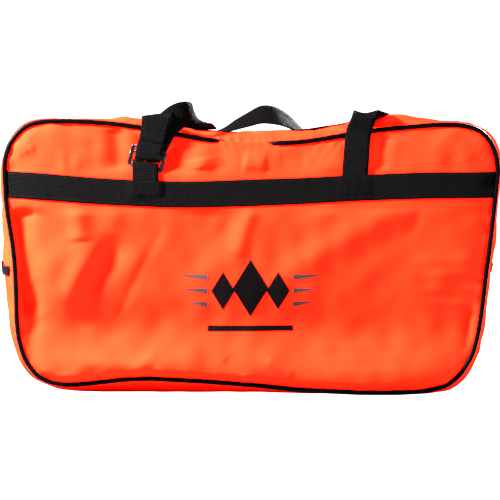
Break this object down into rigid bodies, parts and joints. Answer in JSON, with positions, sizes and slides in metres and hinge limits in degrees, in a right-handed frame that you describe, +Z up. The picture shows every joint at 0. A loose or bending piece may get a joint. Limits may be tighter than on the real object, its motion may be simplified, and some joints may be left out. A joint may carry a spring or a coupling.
{
  "type": "zipped gear carry bag",
  "caption": "Soft rectangular zipped carry bag with piped seams, webbing band, side-to-side zip, strap handles and a webbing adjuster.",
  "frame": {"origin": "centre of the bag's footprint, on the surface it stands on", "axes": "+Z up towards the handles, front panel faces -Y, +X along the width to the viewer's right"},
  "size_m": [0.74, 0.215, 0.4337],
  "materials": {
    "orange_fabric": "woven polyester, satin",
    "black_webbing": "woven polypropylene webbing",
    "black_piping": "glossy PVC cord cover",
    "black_plastic": "moulded acetal",
    "zip_coil": "nylon coil",
    "zip_tape": "woven tape",
    "black_metal": "black enamel",
    "black_thread": "bonded thread"
  },
  "bodies": {
    "root": {"gusset_lower": "orange_fabric", "gusset_upper_rear": "orange_fabric", "front_panel_lower": "orange_fabric", "rear_panel": "orange_fabric", "front_piping_lower": "black_piping", "rear_piping": "black_piping", "rear_band": "black_webbing", "rear_bar_tacks": "black_thread", "rear_strap_left": "black_webbing", "rear_strap_right": "black_webbing", "zip_tape_rear": "zip_tape", "zip_coil_rear": "zip_coil", "zip_end_tab_left": "black_webbing", "zip_end_tab_right": "black_webbing"},
    "front_leaf": {"front_panel_upper": "orange_fabric", "gusset_upper_front": "orange_fabric", "front_piping_upper": "black_piping", "front_band": "black_webbing", "front_bar_tacks": "black_thread", "front_strap_right": "black_webbing", "front_strap_left": "black_webbing", "front_strap_tail": "black_webbing", "front_strap_stub": "black_webbing", "zip_tape_front": "zip_tape", "zip_coil_front": "zip_coil"},
    "adjuster": {"adjuster_buckle": "black_plastic", "adjuster_strap_turn": "black_webbing"},
    "front_handle": {"front_handle_loop": "black_webbing"},
    "rear_handle": {"rear_handle_loop": "black_webbing"},
    "slider": {"zip_slider": "black_metal"},
    "pull": {"zip_pull": "black_metal"}
  },
  "joints": [
    {"name": "mouth_opening", "type": "hinge", "parent": "root", "child": "front_leaf", "pos_m": [0, -0.0999, 0.1962], "axis": [1, 0, 0], "range_deg": [0, 60]},
    {"name": "front_handle_swing", "type": "hinge", "parent": "front_leaf", "child": "front_handle", "pos_m": [0, -0.1086, 0.412], "axis": [1, 0, 0], "range_deg": [0, 250]},
    {"name": "rear_handle_swing", "type": "hinge", "parent": "root", "child": "rear_handle", "pos_m": [0, 0.1086, 0.412], "axis": [-1, 0, 0], "range_deg": [0, 235]},
    {"name": "adjuster_swing", "type": "hinge", "parent": "front_leaf", "child": "adjuster", "pos_m": [-0.1544, -0.1039, 0.33836], "axis": [0.9703, 0, -0.2419], "range_deg": [0, 20]},
    {"name": "zip_slide", "type": "slide", "parent": "root", "child": "slider", "axis": [0.1322, 0, 0.9912], "range_m": [0, 0.09]},
    {"name": "pull_swing", "type": "hinge", "parent": "slider", "child": "pull", "pos_m": [0.35797, 0.0028, 0.21252], "axis": [0, -1, 0], "range_deg": [0, 150]}
  ]
}
